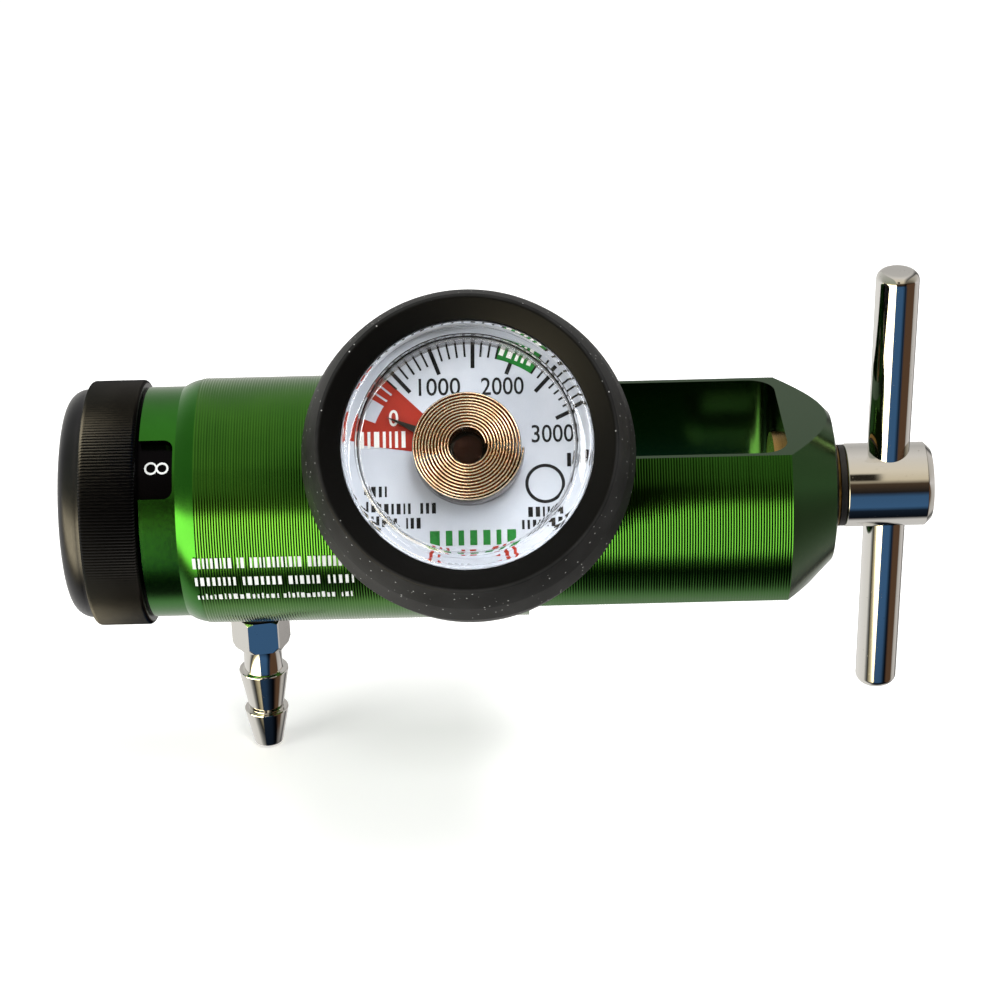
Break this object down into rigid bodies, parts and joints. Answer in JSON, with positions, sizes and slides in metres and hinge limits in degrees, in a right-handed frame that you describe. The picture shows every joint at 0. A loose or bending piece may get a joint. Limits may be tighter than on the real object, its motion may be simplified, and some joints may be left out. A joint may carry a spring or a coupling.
{
  "type": "oxygen regulator",
  "caption": "Pin-index yoke oxygen regulator: turned green body, click-stop flow knob, rubber-booted contents gauge, hose barb and a T-handle clamping screw.",
  "frame": {"origin": "centre of the inlet seat, where the yoke's slot meets the body's axis", "axes": "+X along the body towards the T-handle, +Z the way the cylinder valve's post passes through the yoke, front at -Y"},
  "size_m": [0.1304, 0.0671, 0.0853],
  "materials": {
    "green_anodised": "satin anodised, fine turned",
    "black_anodised": "satin anodised, knurled",
    "brass": "turned",
    "chrome": "polished plate",
    "steel": "plain",
    "black_rubber": "matt",
    "white_plastic": "moulded",
    "dial_white": "matt print",
    "dial_red": "matt ink",
    "dial_green": "matt ink",
    "dial_black": "matt ink",
    "copper_alloy": "drawn strip",
    "clear_lens": "clear moulded",
    "sintered_bronze": "porous"
  },
  "bodies": {
    "regulator": {"regulator_body": "green_anodised", "inlet_sleeve": "brass", "inlet_filter": "sintered_bronze", "seal_ring": "steel", "seal_core": "black_rubber", "index_pins": "steel", "piston_spring": "steel", "flow_housing": "brass", "housing_seal": "black_rubber", "shaft_seal": "black_rubber", "pickup_seal": "white_plastic", "detent_spring": "steel", "retaining_ring": "steel", "outlet_barb": "chrome", "barb_seal": "black_rubber", "screw_bushing": "brass", "gauge_socket": "brass", "gauge_seal": "black_rubber", "gauge_case": "steel", "dial_plate": "dial_white", "dial_red_field": "dial_red", "dial_green_field": "dial_green", "dial_scale_marks": "dial_black", "bourdon_coil": "copper_alloy", "gauge_lens": "clear_lens", "gauge_boot": "black_rubber"},
    "flow_knob": {"knob": "black_anodised", "number_ring": "black_anodised", "knob_screw": "steel", "selector_shaft": "steel", "orifice_disc": "brass"},
    "detent": {"detent_ball": "steel"},
    "valve_piston": {"piston": "brass", "piston_head_seal": "black_rubber", "piston_stem_seal": "black_rubber", "valve_seat": "white_plastic"},
    "screw_carrier": {"bumper_ring": "black_rubber"},
    "t_handle": {"yoke_screw": "chrome", "tommy_bar": "chrome"},
    "pointer": {"gauge_pointer": "dial_black"}
  },
  "joints": [
    {"name": "knob_turn", "type": "hinge", "parent": "regulator", "child": "flow_knob", "pos_m": [-0.0572, 0, 0], "axis": [1, 0, 0], "continuous": true},
    {"name": "detent_press", "type": "slide", "parent": "regulator", "child": "detent", "axis": [1, 0, 0], "range_m": [0, 0.00045], "stiffness_N_per_m": 1000, "springref_m": -0.0005, "deforming": ["detent_spring"]},
    {"name": "piston_slide", "type": "slide", "parent": "regulator", "child": "valve_piston", "axis": [1, 0, 0], "range_m": [0, 0.0008], "stiffness_N_per_m": 5000, "springref_m": -0.001, "deforming": ["piston_spring"]},
    {"name": "yoke_screw_advance", "type": "slide", "parent": "regulator", "child": "screw_carrier", "axis": [1, 0, 0], "range_m": [0, 0.009]},
    {"name": "yoke_screw_turn", "type": "hinge", "parent": "screw_carrier", "child": "t_handle", "pos_m": [0.05482, 0, 0], "axis": [1, 0, 0], "range_deg": [0, 2160]},
    {"name": "pointer_swing", "type": "hinge", "parent": "regulator", "child": "pointer", "pos_m": [-0.008, -0.02974, 0.02082], "axis": [0, 0.8192, -0.5736], "range_deg": [0, 130], "stiffness_Nm_per_rad": 0.0001}
  ],
  "couplings": [
    {"joint": "yoke_screw_advance", "follows": "yoke_screw_turn", "m_per_rad": 0.0002387}
  ]
}
